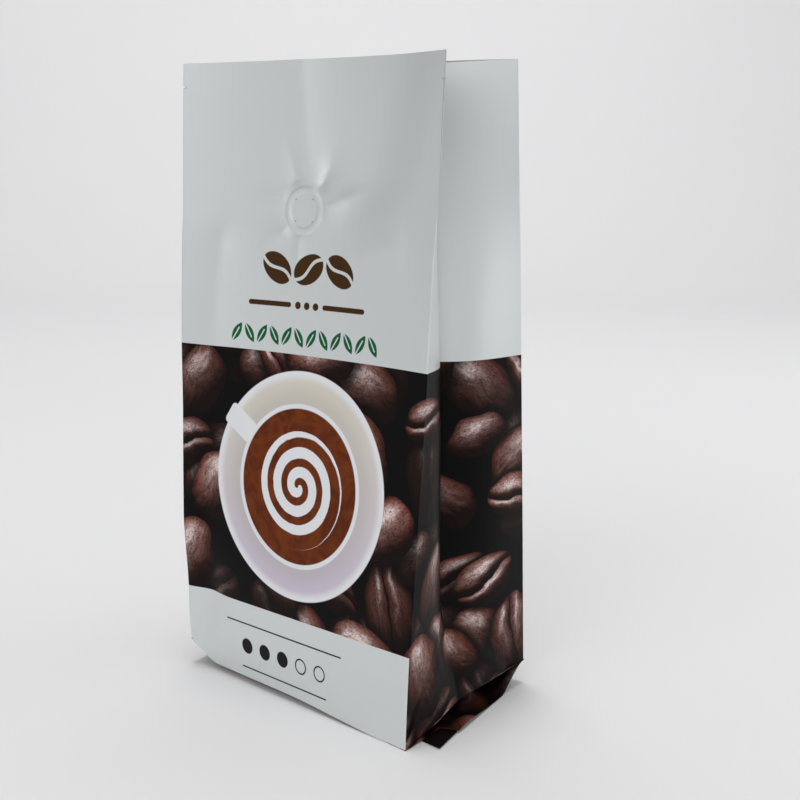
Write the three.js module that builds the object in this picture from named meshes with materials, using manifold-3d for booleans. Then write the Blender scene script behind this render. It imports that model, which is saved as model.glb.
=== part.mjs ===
// Side gusset coffee bag: a film bag that stands open and empty, with a one-way valve behind its
// front panel. Millimetres, +Z up. The front panel faces -Y and the bag stands on z = 0.

import * as THREE from 'three';
import { mergeVertices } from 'three/addons/utils/BufferGeometryUtils.js';
import Module from 'manifold-3d';

const { clamp, lerp, smoothstep } = THREE.MathUtils;

// The standing bag: its height, and the film thickened to a wall
const HEIGHT = 276;
const WALL = 0.8;

// Where the four upright edges stand, at the base and at the mouth
const RIGHT_EDGE = 69;
const LEFT_EDGE = 70.5;
const LEFT_TAPER = 8;
const RIGHT_FRONT = { base: -47.2, mouth: -26.5 };
const LEFT_FRONT = { base: -39, mouth: -27.4 };
const BACK = { base: 42.1, mouth: 27.8 };
const BACK_TWIST = 8;
const WAIST = 2.6;

// How the panels hollow in, and how the lower left of the front is pushed back and rolled under
const SAG = 8;
const SAG_FULL = 0.75;
const PUSH = 15;
const PUSH_HEIGHT = 48;
const ROLL_HEIGHT = 8;
const ROLL_ACROSS = -0.75;

// The folded gussets: fold depth at base and mouth, bulge of each half, lean of the fold to the front
const FOLD = { base: 3, mouth: 36, left: 11, power: 0.75 };
const BULGE = 8;
const LEAN = 10;
const FOLD_DROP = 2.5;

// The base: the back edge stands off the ground and the flaps come down to it
const BACK_LIFT = 11;
const REST_END = 22;
const BASE = 1.2;
const TUCK_REACH = 45;
const TUCK_MEET = { y: -6, z: 0.3, share: 0.94 };
const FLAP_FLARE = { out: 8, starts: -42, peak: -20, ends: 28 };

// The end of the bottom seal, which sticks out at the right
const SEAL_TAB = { inner: 60, outer: 79.5, front: -38.4, back: -20 };

// The lengthwise seam, folded flat on the back panel
const SEAM = { width: 12, offset: 4, proud: 0.7, root: 0.4 };

// The valve: its place on the front panel, the ring that it presses into the film, and its body
const VALVE = { across: -0.0625, up: 0.776 };
const RING = { inner: 7.6, outer: 10.4, proud: 0.6, root: 0.4 };
const VALVE_BODY = { flange: 10.4, rim: 1.4, hub: 7, depth: 3.4, outlet: 3.2, recess: 1 };
const GAP = 0.4;

// Facets
const LEVELS = 12;
const FRONT_STEPS = 18;
const GUSSET_STEPS = 12;
const BACK_STEPS = 12;
const FLAP_STEPS = 12;
const TUCK_STEPS = 3;
const SEAM_STEPS = 12;
const ROUND_STEPS = 32;

// Shape of the film: across runs from -1 at the left edge to 1 at the right, up from 0 to 1

function waist(up) {
  return WAIST * Math.sin(Math.PI * up) ** 2;
}

function hollow(across, up) {
  return SAG * smoothstep(up, 0, SAG_FULL) * (1 - Math.abs(across) ** 3);
}

function frontPanel(across, up) {
  const share = (1 + across) / 2;
  const left = -LEFT_EDGE + LEFT_TAPER * (1 - up) ** 2.5;
  const leftDepth = lerp(LEFT_FRONT.base, LEFT_FRONT.mouth, up);
  const rightDepth = lerp(RIGHT_FRONT.base, RIGHT_FRONT.mouth, up) + waist(up);
  const reach = lerp(ROLL_HEIGHT, PUSH_HEIGHT, smoothstep(across, -1, ROLL_ACROSS));
  const push = PUSH * (1 - share) * Math.exp((-up * HEIGHT) / reach);
  const y = lerp(leftDepth, rightDepth, share) + hollow(across, up) + push;
  return new THREE.Vector3(lerp(left, RIGHT_EDGE, share), y, up * HEIGHT);
}

function backPanel(across, up) {
  const edge = lerp(BACK.base, BACK.mouth, up) - waist(up);
  const twist = BACK_TWIST * (1 - up) ** 3 * (1 - across) / 2;
  return new THREE.Vector3(across * RIGHT_EDGE, edge + twist - hollow(across, up), up * HEIGHT);
}

// One side, from its front edge (along = 0) over the fold (0.5) to its back edge (1)
function gusset(side, along, up) {
  const front = frontPanel(side, up);
  const back = backPanel(side, up);
  const extra = side < 0 ? FOLD.left * (1 - up) ** 2 : 0;
  const depth = lerp(FOLD.base, FOLD.mouth, up ** FOLD.power) + extra;
  const fold = front.clone().lerp(back, 0.5);
  fold.x -= side * depth;
  fold.y -= LEAN * Math.sin(Math.PI * up);

  const edge = along < 0.5 ? front : back;
  const share = 1 - Math.abs(2 * along - 1);
  const chord = fold.clone().sub(edge);
  const turn = along < 0.5 ? side : -side;
  const out = new THREE.Vector3(chord.y, -chord.x, 0).normalize().multiplyScalar(turn);
  const bulge = BULGE * Math.sin(Math.PI * up) ** 1.2 * 4 * share * (1 - share) * (0.6 + 0.8 * share);
  return edge.addScaledVector(chord, share).addScaledVector(out, bulge);
}

// Heights of the film's lower and upper rims along a side
function sideFoot(along) {
  return BACK_LIFT * along;
}

function sideTop(along) {
  return HEIGHT - FOLD_DROP * (1 - Math.abs(2 * along - 1));
}

// A point of the wall at a level from 0, the lower rim, to 1, the upper rim
function wallPoint(panel, foot, top, level) {
  const z = lerp(foot, top, level);
  const point = panel(z / HEIGHT);
  point.z = z;
  return point;
}

// One turn round the bag, anticlockwise from above: front, right side, back, left side
function ring(level) {
  const points = [];
  for (let i = 0; i < FRONT_STEPS; i++) {
    const across = lerp(-1, 1, i / FRONT_STEPS);
    points.push(wallPoint((up) => frontPanel(across, up), 0, HEIGHT, level));
  }
  for (let i = 0; i < GUSSET_STEPS; i++) {
    const along = i / GUSSET_STEPS;
    points.push(wallPoint((up) => gusset(1, along, up), sideFoot(along), sideTop(along), level));
  }
  for (let i = 0; i < BACK_STEPS; i++) {
    const across = lerp(1, -1, i / BACK_STEPS);
    points.push(wallPoint((up) => backPanel(across, up), BACK_LIFT, HEIGHT, level));
  }
  for (let i = 0; i < GUSSET_STEPS; i++) {
    const along = 1 - i / GUSSET_STEPS;
    points.push(wallPoint((up) => gusset(-1, along, up), sideFoot(along), sideTop(along), level));
  }
  return points;
}

// The same turn moved inwards by the wall, with mitred corners
function innerRing(points) {
  const count = points.length;
  return points.map((point, i) => {
    const before = point.clone().sub(points[(i + count - 1) % count]).setZ(0).normalize();
    const after = points[(i + 1) % count].clone().sub(point).setZ(0).normalize();
    const inward = new THREE.Vector3(-before.y - after.y, before.x + after.x, 0);
    return point.clone().addScaledVector(inward, WALL / (1 + before.dot(after)));
  });
}

// Geometry from points and triangles
function meshOf(points, triangles) {
  const geometry = new THREE.BufferGeometry().setFromPoints(points);
  geometry.setIndex(triangles);
  return geometry;
}

function quad(triangles, a, b, c, d) {
  triangles.push(a, b, c, a, c, d);
}

// A closed skin through rows of points that join end to end, and whose last row joins the first
function closedLoft(rows) {
  const count = rows[0].length;
  const triangles = [];
  for (let j = 0; j < rows.length; j++) {
    const low = j * count;
    const high = ((j + 1) % rows.length) * count;
    for (let i = 0; i < count; i++) {
      const next = (i + 1) % count;
      quad(triangles, low + i, low + next, high + next, high + i);
    }
  }
  return meshOf(rows.flat(), triangles);
}

// A sheet over a grid of points, thickened by moving a second copy of it along rise
function slab(rows, rise) {
  const columns = rows[0].length;
  const sheet = rows.flat();
  const lifted = sheet.map((point) => point.clone().add(rise));
  const triangles = [];
  for (let j = 0; j + 1 < rows.length; j++) {
    for (let i = 0; i + 1 < columns; i++) {
      const a = j * columns + i;
      const d = a + columns;
      quad(triangles, d, d + 1, a + 1, a);
      quad(triangles, a + sheet.length, a + 1 + sheet.length, d + 1 + sheet.length, d + sheet.length);
    }
  }
  const last = sheet.length - columns;
  const rim = [];
  for (let i = 0; i < columns - 1; i++) rim.push(i);
  for (let j = 0; j < rows.length - 1; j++) rim.push(j * columns + columns - 1);
  for (let i = columns - 1; i > 0; i--) rim.push(last + i);
  for (let j = rows.length - 1; j > 0; j--) rim.push(j * columns);
  rim.forEach((a, i) => {
    const b = rim[(i + 1) % rim.length];
    quad(triangles, a, b, b + sheet.length, a + sheet.length);
  });
  return meshOf([...sheet, ...lifted], triangles);
}

// The upright wall: front and back panels and both gussets, as a tube
function wall() {
  const outer = [];
  for (let j = 0; j <= LEVELS; j++) {
    outer.push(ring((j / LEVELS) ** 1.4));
  }
  const inner = outer.map(innerRing).reverse();
  return closedLoft([...outer, ...inner]);
}

// How far the flaps' right edge stands out, from the bottom seal back to the rear corner
function flapFlare(y) {
  const { out, starts, peak, ends } = FLAP_FLARE;
  return out * smoothstep(y, starts, peak) * clamp((ends - y) / (ends - peak), 0, 1);
}

// The base flaps: one sheet from the front edge, flat on the ground, then up to the back edge
function baseFlaps() {
  const rows = [];
  for (let j = 0; j <= FLAP_STEPS; j++) {
    const row = [];
    for (let i = 0; i <= FRONT_STEPS; i++) {
      const across = lerp(-1, 1, i / FRONT_STEPS);
      const front = frontPanel(across, 0);
      const back = backPanel(across, BACK_LIFT / HEIGHT);
      const point = front.lerp(back, j / FLAP_STEPS);
      point.x += flapFlare(point.y) * Math.max(0, across) ** 6;
      point.z = BACK_LIFT * smoothstep(point.y, REST_END, back.y);
      row.push(point);
    }
    rows.push(row);
  }
  return slab(rows, new THREE.Vector3(0, 0, BASE));
}

// The lower end of a gusset, tucked in between the wall and the base flaps
function tuck(side) {
  const meet = new THREE.Vector3(side * (RIGHT_EDGE - TUCK_REACH), TUCK_MEET.y, TUCK_MEET.z);
  const rows = [];
  for (let j = 0; j <= GUSSET_STEPS; j++) {
    const along = j / GUSSET_STEPS;
    const foot = wallPoint((up) => gusset(side, along, up), sideFoot(along), HEIGHT, 0);
    const row = [];
    for (let i = 0; i <= TUCK_STEPS; i++) {
      row.push(foot.clone().lerp(meet, TUCK_MEET.share * i / TUCK_STEPS));
    }
    rows.push(side > 0 ? row.reverse() : row);
  }
  return slab(rows, new THREE.Vector3(0, 0, WALL));
}

// The end of the bottom seal
function sealTab() {
  const tab = new THREE.BoxGeometry(SEAL_TAB.outer - SEAL_TAB.inner, SEAL_TAB.back - SEAL_TAB.front, WALL);
  tab.translate((SEAL_TAB.outer + SEAL_TAB.inner) / 2, (SEAL_TAB.back + SEAL_TAB.front) / 2, WALL / 2);
  return tab;
}

// The lengthwise seam on the back
function backSeam() {
  const foot = BACK_LIFT / HEIGHT;
  const rows = [];
  for (let j = 0; j <= SEAM_STEPS; j++) {
    const up = lerp(foot, 1, j / SEAM_STEPS);
    const row = [];
    for (const edge of [1, -1]) {
      const across = (SEAM.offset + edge * SEAM.width / 2) / RIGHT_EDGE;
      const point = backPanel(across, up);
      point.y -= SEAM.root;
      row.push(point);
    }
    rows.push(row);
  }
  return slab(rows, new THREE.Vector3(0, SEAM.root + SEAM.proud, 0));
}

// The front panel's point and outward direction at the valve
function valvePlace() {
  const step = 0.01;
  const point = frontPanel(VALVE.across, VALVE.up);
  const right = frontPanel(VALVE.across + step, VALVE.up).sub(point);
  const above = frontPanel(VALVE.across, VALVE.up + step).sub(point);
  const out = right.cross(above).normalize();
  const turn = new THREE.Quaternion().setFromUnitVectors(new THREE.Vector3(0, 1, 0), out);
  return { point, out, turn };
}

// The raised ring that the valve's rim presses into the film
function valveRing() {
  const middle = (RING.inner + RING.outer) / 2;
  const half = (RING.outer - RING.inner) / 2;
  const profile = [new THREE.Vector2(RING.inner, -RING.root), new THREE.Vector2(RING.outer, -RING.root)];
  for (let i = 0; i <= 6; i++) {
    const angle = Math.PI * i / 6;
    profile.push(new THREE.Vector2(middle + half * Math.cos(angle), RING.proud * Math.sin(angle)));
  }
  profile.push(profile[0].clone());
  const { point, turn } = valvePlace();
  const bead = new THREE.LatheGeometry(profile, ROUND_STEPS);
  return bead.applyQuaternion(turn).translate(point.x, point.y, point.z);
}

// The valve: a flange behind the film, and a hub with a recessed outlet towards the inside
function valveBody() {
  const { flange, rim, hub, depth, outlet, recess } = VALVE_BODY;
  const outline = [
    [0, -depth + recess],
    [outlet, -depth + recess],
    [outlet, -depth],
    [hub, -depth],
    [hub, -rim],
    [flange, -rim],
    [flange, 0],
    [0, 0],
  ];
  return new THREE.LatheGeometry(outline.map(([x, y]) => new THREE.Vector2(x, y)), ROUND_STEPS);
}

// Joining solids
const wasm = await Module();
wasm.setup();

function solidOf(geometry) {
  const bare = new THREE.BufferGeometry();
  bare.setAttribute('position', geometry.getAttribute('position'));
  bare.setIndex(geometry.getIndex());
  const merged = mergeVertices(bare);
  const vertProperties = new Float32Array(merged.getAttribute('position').array);
  const triVerts = new Uint32Array(merged.getIndex().array);
  return new wasm.Manifold(new wasm.Mesh({ numProp: 3, vertProperties, triVerts }));
}

function joined(geometries) {
  const whole = geometries.map(solidOf).reduce((sum, piece) => sum.add(piece));
  const { vertProperties, triVerts } = whole.getMesh();
  const geometry = new THREE.BufferGeometry();
  geometry.setAttribute('position', new THREE.BufferAttribute(new Float32Array(vertProperties), 3));
  geometry.setIndex(new THREE.BufferAttribute(new Uint32Array(triVerts), 1));
  geometry.computeVertexNormals();
  return geometry;
}

// The bag, with its valve behind the film
const film = new THREE.MeshStandardMaterial({ color: 0xb8bebe, roughness: 0.38, metalness: 0.15 });
const plastic = new THREE.MeshStandardMaterial({ color: 0xd9d9d4, roughness: 0.45, metalness: 0 });

const bag = new THREE.Mesh(
  joined([wall(), baseFlaps(), tuck(1), tuck(-1), sealTab(), backSeam(), valveRing()]),
  film,
);
bag.name = 'bag';

const place = valvePlace();
const valve = new THREE.Mesh(valveBody(), plastic);
valve.name = 'valve';
valve.position.copy(place.point).addScaledVector(place.out, -WALL - GAP);
valve.quaternion.copy(place.turn);

const coffeeBag = new THREE.Group();
coffeeBag.add(bag, valve);

export default coffeeBag;
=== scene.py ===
"""A side gusset coffee bag that stands open and empty, with its printed film, folded base, seams and valve.

The shape is worked out by the same rules as the solids of the frame. The film has a map of its own, named
film_map, which holds where each point lies on the flat film: metres round the bag from the front panel's left
edge, and metres up from the base. The print is drawn on that map.
"""

import math
from functools import partialmethod

import bpy
import numpy as np
from bpy.props import FloatProperty, FloatVectorProperty, IntProperty, PointerProperty
from mathutils import Matrix, Vector


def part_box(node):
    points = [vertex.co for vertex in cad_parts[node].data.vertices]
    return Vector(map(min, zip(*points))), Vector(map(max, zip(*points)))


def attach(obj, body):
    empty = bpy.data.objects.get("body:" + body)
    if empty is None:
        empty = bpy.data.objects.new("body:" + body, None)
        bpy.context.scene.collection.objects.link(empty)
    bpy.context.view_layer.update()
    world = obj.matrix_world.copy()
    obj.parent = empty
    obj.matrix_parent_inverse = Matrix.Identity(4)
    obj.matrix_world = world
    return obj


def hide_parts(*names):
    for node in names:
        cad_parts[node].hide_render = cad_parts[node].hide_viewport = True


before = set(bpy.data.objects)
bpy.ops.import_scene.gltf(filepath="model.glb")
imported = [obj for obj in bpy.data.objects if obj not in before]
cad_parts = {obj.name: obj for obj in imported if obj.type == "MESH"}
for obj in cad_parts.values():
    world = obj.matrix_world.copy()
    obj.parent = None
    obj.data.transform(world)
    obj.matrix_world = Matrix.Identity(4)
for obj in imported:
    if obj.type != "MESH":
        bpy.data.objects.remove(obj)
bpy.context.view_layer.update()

bl_info = {
    "name": "Side gusset coffee bag",
    "version": (1, 0, 0),
    "blender": (4, 5, 0),
    "location": "View3D > Sidebar > Coffee bag",
    "description": "Builds a printed film coffee bag with side gussets and a valve, and a stage for it",
    "category": "Mesh",
}

BODY = "root"
FILM_MAP = "film_map"
MM = 0.001
SEAM_RISE = 0.0007


# Settings that a user would change

def length(name, text, value):
    return FloatProperty(name=name, description=text, default=value, unit="LENGTH", precision=4)


def colour(name, text, value):
    return FloatVectorProperty(name=name, description=text, default=value, size=3, min=0, max=1,
                               subtype="COLOR")


class BagSizes(bpy.types.PropertyGroup):
    """Sizes of the standing bag."""

    height: length("Height", "Height of the standing bag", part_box("bag")[1].z)
    film: length("Film", "Thickness of the film as it is drawn", 0.00025)
    panel: length("Panel width", "Width of the front and back panels, along the film", 0.140)
    side: length("Gusset width", "Width of a side gusset, along the film", 0.090)
    right_edge: length("Right edge", "Distance of the right edges from the middle", 0.069)
    left_edge: length("Left edge", "Distance of the left front edge from the middle, at the mouth", 0.0705)
    left_taper: length("Left taper", "How far the left front edge comes in at the base", 0.0038)
    right_front_base: length("Right front, base", "Depth of the right front edge at the base", -0.0472)
    right_front_mouth: length("Right front, mouth", "Depth of the right front edge at the mouth", -0.0265)
    left_front_base: length("Left front, base", "Depth of the left front edge at the base", -0.039)
    left_front_mouth: length("Left front, mouth", "Depth of the left front edge at the mouth", -0.0274)
    back_base: length("Back, base", "Depth of the back edges at the base", 0.0421)
    back_mouth: length("Back, mouth", "Depth of the back edges at the mouth", 0.0278)
    back_twist: length("Back twist", "How far the lower left of the back is set back", 0.008)
    back_bow: length("Back bow", "How far the back edges stand out below the mouth", 0.0013)
    waist: length("Waist", "How far the right front edge draws in half way up", 0.0026)
    sag: length("Sag", "How far the panels hollow in towards the mouth", 0.008)
    push: length("Push", "How far the lower left of the front is pushed back", 0.0080)
    front_lift: length("Front lift", "Height of the front edge's left foot above the ground", 0.0027)
    corner_lift: length("Corner lift", "Height by which the front's lower left corner is cut off", 0.0085)
    corner_width: length("Corner width", "Width over which the lower left corner is cut off", 0.017)
    push_height: length("Push height", "Height over which the push fades out", 0.048)
    roll_height: length("Roll height", "Height over which the lower left corner rolls under", 0.008)
    fold_base: length("Fold, base", "Depth of the gusset fold at the base", 0.003)
    fold_mouth: length("Fold, mouth", "Depth of the gusset fold at the mouth", 0.036)
    fold_left: length("Fold, left", "Extra depth of the left fold at the base", 0.011)
    bulge: length("Bulge", "How far each half of a gusset bulges out", 0.008)
    lean: length("Lean", "How far the fold leans to the front half way up", 0.010)
    fold_drop: length("Fold drop", "How far the fold's top lies below the rim", 0.0025)
    back_lift: length("Back lift", "Height of the back edge's foot above the ground", 0.011)
    rest_end: length("Rest end", "Where the base leaves the ground towards the back", 0.022)
    edge_bow: length("Edge bow", "How far the right front edge bows in below the valve", 0.0015)
    edge_flare: length("Edge flare", "How far the right front edge stands out at the mouth", 0.0018)
    crease: length("Crease", "Half width over which a crease is rounded", 0.0007)


class ValveSizes(bpy.types.PropertyGroup):
    """Sizes of the valve's mark on the front panel."""

    along: length("Along", "Valve centre along the film from the front panel's left edge", 0.0656)
    up: length("Up", "Height of the valve's centre", 0.2137)
    ring_inner: length("Ring inside", "Inner radius of the raised ring", 0.0074)
    ring_outer: length("Ring outside", "Outer radius of the raised ring", 0.0099)
    ring_rise: length("Ring rise", "Height of the raised ring", 0.00034)
    hole: length("Pinhole", "Radius of a pinhole", 0.00024)
    hole_pitch: length("Pinhole pitch", "Distance between pinholes", 0.0093)


class PrintSizes(bpy.types.PropertyGroup):
    """Places of the print on the film."""

    band_top: length("Band top", "Height where the bean print ends", 0.1527)
    label_top: length("Label top", "Height of the pale label on the front", 0.0384)
    cup_along: length("Cup along", "Cup centre along the film", 0.0715)
    cup_up: length("Cup up", "Cup centre height", 0.0965)
    saucer: length("Saucer", "Radius of the saucer", 0.0495)
    cup: length("Cup", "Radius of the cup's rim", 0.0355)
    bean: length("Bean", "Spacing of the deepest beans", 0.041)
    seed: IntProperty(name="Seed", description="Shifts the bean pattern", default=233)


class PrintColours(bpy.types.PropertyGroup):
    """Inks and film colours, as linear values."""

    pearl: colour("Pearl", "The plain film", (0.708, 0.742, 0.746))
    black: colour("Black", "The gaps between beans", (0.0020, 0.0014, 0.0014))
    umber: colour("Umber", "A bean in the shade", (0.008, 0.003, 0.0025))
    roast: colour("Roast", "A bean in the light", (0.215, 0.068, 0.048))
    red_roast: colour("Red roast", "A redder bean in the light", (0.275, 0.070, 0.040))
    shine: colour("Shine", "A bean's highlight", (0.80, 0.66, 0.64))
    saucer_warm: colour("Saucer, top", "The saucer's upper side", (0.66, 0.63, 0.55))
    saucer_cool: colour("Saucer, bottom", "The saucer's lower side", (0.60, 0.54, 0.64))
    china: colour("China", "Rim, handle and foam", (0.78, 0.79, 0.82))
    coffee: colour("Coffee", "The drink in the cup", (0.165, 0.036, 0.007))
    ink_brown: colour("Brown ink", "The upper ornament", (0.068, 0.032, 0.012))
    ink_green: colour("Green ink", "The lower ornament", (0.010, 0.125, 0.045))
    ink_dark: colour("Dark ink", "The marks on the label", (0.012, 0.012, 0.012))
    foil: colour("Foil", "The inside of the film", (0.62, 0.63, 0.64))


# The film's shape. Each function takes arrays and gives metres

def smoothstep(value, low, high):
    share = np.clip((value - low) / (high - low), 0, 1)
    return share * share * (3 - 2 * share)


def mix(a, b, share):
    return a + (b - a) * share


def hollow(size, across, up):
    """How far a panel sags in at its middle, more so towards the mouth."""
    return size.sag * smoothstep(up, 0.1, 0.85) * (1 - np.abs(across) ** 2.2)


def front_panel(size, across, up):
    """Place on the front panel, with across from -1 at the left edge to 1, and up from 0 to 1."""
    share = (1 + across) / 2
    left = -size.left_edge + size.left_taper * (1 - up) ** 2.5
    left_depth = mix(size.left_front_base, size.left_front_mouth, up)
    waist = size.waist * np.sin(math.pi * up) ** 2
    right_depth = mix(size.right_front_base, size.right_front_mouth, up) + waist
    reach = mix(size.roll_height, size.push_height, smoothstep(across, -1, -0.75))
    push = size.push * (1 - share) * np.exp(-up * size.height / reach)
    y = mix(left_depth, right_depth, share) + hollow(size, across, up) + push + facet(size, across, up)
    right = size.right_edge + edge_bend(size, up)
    return np.stack([mix(left, right, share), y, up * size.height], -1)


def facet(size, across, up):
    """How far the front's lower left corner is turned back, left of a slanting crease."""
    foot, crease, run = (0.0115, 0.0035), (0.425, 0.906), 0.035
    slope, width, rounding = 0.22, 0.012, 0.0015
    ahead, above = (1 + across) * size.panel / 2 - foot[0], up * size.height - foot[1]
    aside = crease[0] * above - crease[1] * ahead
    share = (crease[0] * ahead + crease[1] * above) / run
    ramp = 0.5 * (aside + np.sqrt(aside ** 2 + rounding ** 2))
    return slope * np.minimum(ramp, width) * (1 - smoothstep(share, 0.7, 1.7))


def edge_bend(size, up):
    """The right front edge's bow: in along its lower part and out towards the mouth."""
    lower = np.sin(math.pi * np.clip(up / 0.74, 0, 1))
    return size.edge_flare * smoothstep(up, 0.69, 0.86) - size.edge_bow * lower


def back_panel(size, across, up):
    """Place on the back panel, with across and up as on the front."""
    edge = mix(size.back_base, size.back_mouth, up)
    twist = size.back_twist * (1 - up) ** 3 * (1 - across) / 2
    y = edge + twist - hollow(size, across, up)
    half = size.right_edge + size.back_bow * (1 - up ** 3)
    return np.stack([across * half, y, up * size.height], -1)


def gusset(size, hand, along, up):
    """Place on a side, with hand 1 on the right and -1 on the left, and along from 0 at the front to 1."""
    front = front_panel(size, np.full_like(up, hand), up)
    back = back_panel(size, np.full_like(up, hand), up)
    depth = mix(size.fold_base, size.fold_mouth, up ** 0.75)
    if hand < 0:
        depth = depth + size.fold_left * (1 - up) ** 2
    fold = (front + back) / 2
    fold[..., 0] -= hand * depth
    fold[..., 1] -= size.lean * np.sin(math.pi * up)

    near = (along < 0.5)[..., None]
    edge = np.where(near, front, back)
    share = (1 - np.abs(2 * along - 1))[..., None]
    chord = fold - edge
    turn = np.where(near, hand, -hand)
    out = np.stack([chord[..., 1], -chord[..., 0], np.zeros_like(up)], -1) * turn
    out /= np.linalg.norm(out, axis=-1, keepdims=True)
    swell = size.bulge * np.sin(math.pi * up)[..., None] ** 1.2
    return edge + chord * share + out * swell * 4 * share * (1 - share) * (0.6 + 0.8 * share)


def front_foot(size, across):
    """Height of the front panel's lower edge: clear of the ground on the left, and turned up at its end."""
    ahead = (1 + across) * size.panel / 2
    corner = np.clip(1 - ahead / size.corner_width, 0, 1) ** 2
    return size.front_lift * smoothstep(-across, -0.95, 0.1) + size.corner_lift * corner


def film_point(size, around, level):
    """Place of the film at a distance round the bag and a level from 0 at its foot to 1 at its rim."""
    around, level = np.broadcast_arrays(around, level)
    half, side, panel = size.panel / 2, size.side, size.panel
    along_left = np.clip(-around / side, 0, 1)
    along_right = np.clip((around - panel) / side, 0, 1)
    along = np.where(around < half, along_left, along_right)
    on_front = (around >= 0) & (around <= panel)
    on_left = (around < 0) & (around > -side)
    on_right = (around > panel) & (around < panel + side)
    across_front = np.clip(around / half - 1, -1, 1)
    foot = np.where(on_front, front_foot(size, across_front), size.back_lift * along)
    left_lift = (size.front_lift + size.corner_lift) * (1 - smoothstep(along_left, 0.06, 0.6))
    foot = np.where(on_left, foot + left_lift, foot)
    drop = size.fold_drop * (1 - np.abs(2 * along - 1)) * (on_left | on_right)
    z = mix(foot, size.height - drop, level)
    up = np.clip(z / size.height, 0, 1)
    across_back = np.where(around < half, -(around + side + half) / half, 1 - (around - panel - side) / half)
    point = back_panel(size, np.clip(across_back, -1, 1), up)
    point = np.where(on_front[..., None], front_panel(size, across_front, up), point)
    point = np.where(on_left[..., None], gusset(size, -1, along_left, up), point)
    point = np.where(on_right[..., None], gusset(size, 1, along_right, up), point)
    point[..., 2] = z
    return point


def rounded_film_point(size, around, level):
    """The film with its creases rounded, as a mean over a short way round the bag."""
    steps = np.linspace(-1, 1, 5) * size.crease
    return sum(film_point(size, wrapped(size, around + step), level) for step in steps) / len(steps)


def girth(size):
    return 2 * (size.panel + size.side)


def wrapped(size, around):
    """A distance round the bag, brought back to the stretch that starts at the middle of the back."""
    start = -size.side - size.panel / 2
    return (around - start) % girth(size) + start


def valve_frame(size, valve, rise):
    """The placing of the valve's own axes: X along the film, Y up it and Z out of it."""
    def place(ahead, above):
        around = np.array(valve.along + ahead)
        foot = front_foot(size, around / (size.panel / 2) - 1)
        return Vector(film_point(size, around, (valve.up + above - foot) / (size.height - foot)))

    half = valve.hole_pitch / 2
    centre = (place(-half, 0) + place(half, 0)) / 2
    right = place(half, 0) - place(-half, 0)
    out = right.cross(place(0, half) - place(0, -half)).normalized()
    right = (right - out * right.dot(out)).normalized()
    turn = Matrix((right, out.cross(right), out)).transposed().to_4x4()
    return Matrix.Translation(centre + out * rise) @ turn


# Low relief of the film

# Soft folds of the film, in millimetres: where each starts and ends on the film, how far it stands out at its
# crest (or in, below zero), how wide it falls away on its left and right, and how much of it fades at its end
SOFT_FOLDS = (
    ((72.6, 221.4), (83.5, 250), -1.0, 4.0, 5.5, 0.7),
    ((61.2, 223.2), (52.5, 248), -0.7, 3.4, 3.4, 0.7),
    ((75.6, 212.6), (99, 225), 0.9, 3.6, 3.4, 0.7),
    ((58.4, 207.4), (35, 186), 0.9, 3.2, 5.5, 0.7),
    ((64.2, 204.0), (62.6, 180), 0.6, 2.8, 2.8, 0.7),
    ((56, 217), (36, 222), 0.5, 4, 5, 0.7),
    ((124, 201), (84, 192), 0.9, 8, 10, 0.6),
    ((23, 210), (15, 118), 1.9, 12, 14, 0.4),
)
SOFT_DENTS = 46
DENT_SLOPE = 0.011
DENT_SEED = 11


def soft_fold(around, z, start, end, crest, left, right, fade):
    """A rounded crest along a line on the film, falling away on both sides."""
    step = np.subtract(end, start) * MM
    run = np.hypot(*step)
    ahead, up = around - start[0] * MM, z - start[1] * MM
    share = (ahead * step[0] + up * step[1]) / run ** 2
    aside = (up * step[0] - ahead * step[1]) / run
    round_top = 0.0011
    fall = np.sqrt(aside ** 2 + round_top ** 2) - round_top
    profile = np.exp(-fall / (np.where(aside > 0, left, right) * MM))
    begin = smoothstep(share, -0.04, 0.17)
    finish = 1 - smoothstep(share, 1 - fade, 1.0)
    return crest * MM * profile * begin * finish


def side_hollow(around, z):
    """The shallow hollow that runs up from the valve: steep on its left, and rising slowly to its right."""
    depth, rounding, steep = 0.0032, 0.0022, 0.016
    left = mix(0.0675, 0.0620, (z - 0.224) / 0.052)
    right = mix(0.1215, 0.1375, (z - 0.198) / 0.072)
    inside = 0.5 * (around - left + np.hypot(around - left, rounding))
    drop = 1 - np.exp(-inside / steep)
    rise = 1 - smoothstep(around, right - 0.030, right + 0.002)
    return -depth * drop * rise * smoothstep(z, 0.196, 0.230)


def valve_relief(valve, around, z):
    """The raised ring over the valve's rim."""
    edge, recess = 0.0006, 0.85
    radius = np.hypot(around - valve.along, z - valve.up)
    inside = 1 - smoothstep(radius, valve.ring_inner - edge, valve.ring_inner + edge)
    within = 1 - smoothstep(radius, valve.ring_outer - edge, valve.ring_outer + edge)
    return valve.ring_rise * (within - recess * inside)


def panel_relief(valve, around, z):
    """Soft folds round the valve, and broad shallow dents all over."""
    radius = np.hypot(around - valve.along, z - valve.up)
    flat = smoothstep(radius, valve.ring_outer - 0.001, valve.ring_outer + 0.014)
    relief = sum(soft_fold(around, z, *fold) for fold in SOFT_FOLDS) + side_hollow(around, z) * flat
    draw = np.random.default_rng(DENT_SEED)
    for _ in range(SOFT_DENTS):
        place = draw.uniform(-0.16, 0.30), draw.uniform(0.0, 0.276)
        spread = draw.uniform(0.010, 0.030)
        rise = draw.uniform(-1, 1) * DENT_SLOPE * spread
        stretch = draw.uniform(0.7, 1.8)
        far = np.hypot(around - place[0], (z - place[1]) / stretch) / spread
        relief = relief + rise * np.exp(-far ** 2) * flat
    return relief


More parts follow.
